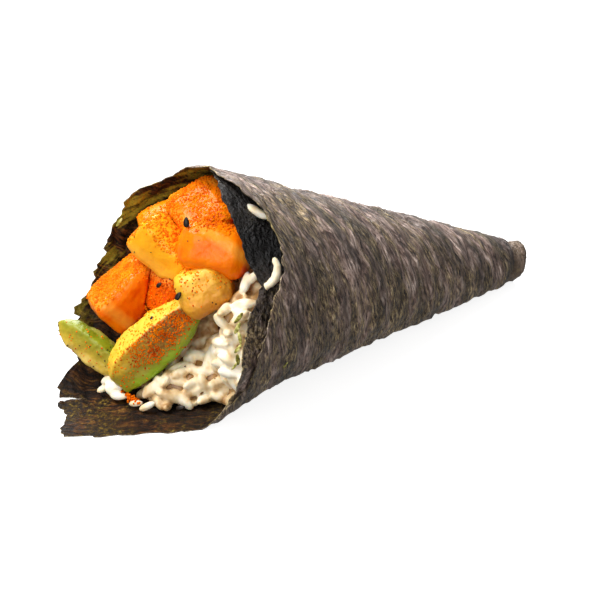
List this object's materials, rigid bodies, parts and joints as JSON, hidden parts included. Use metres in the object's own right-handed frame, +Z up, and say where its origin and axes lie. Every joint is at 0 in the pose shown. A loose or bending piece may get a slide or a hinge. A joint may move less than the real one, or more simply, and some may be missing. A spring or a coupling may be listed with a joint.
{
  "type": "temaki hand roll",
  "caption": "Cone-shaped sushi hand roll lying on its side: a toasted nori sheet wound round seasoned rice, salmon pieces and avocado slices that show at the open mouth.",
  "frame": {"origin": "centre of the bounding box's bottom, on the surface that the roll lies on", "axes": "+X along the roll to its tip, +Z up, the lapped side of the sheet facing -Y"},
  "size_m": [0.1367, 0.0589, 0.0552],
  "materials": {
    "nori": "toasted seaweed sheet, dry, with a soft sheen and fine wrinkles",
    "rice": "cooked short-grain rice, moist and slightly translucent",
    "salmon": "raw salmon, moist and glossy, partly coated with fine orange crumb",
    "avocado": "ripe avocado flesh, buttery, greener towards the skin side"
  },
  "bodies": {
    "root": {"nori_wrap": "nori", "rice": "rice", "salmon_cube_mouth": "salmon", "salmon_slab_middle": "salmon", "salmon_piece_right": "salmon", "salmon_piece_top": "salmon", "salmon_piece_back": "salmon", "salmon_piece_inner": "salmon", "avocado_chunk": "avocado", "avocado_slice_middle": "avocado", "avocado_slice_mouth": "avocado"}
  },
  "joints": []
}
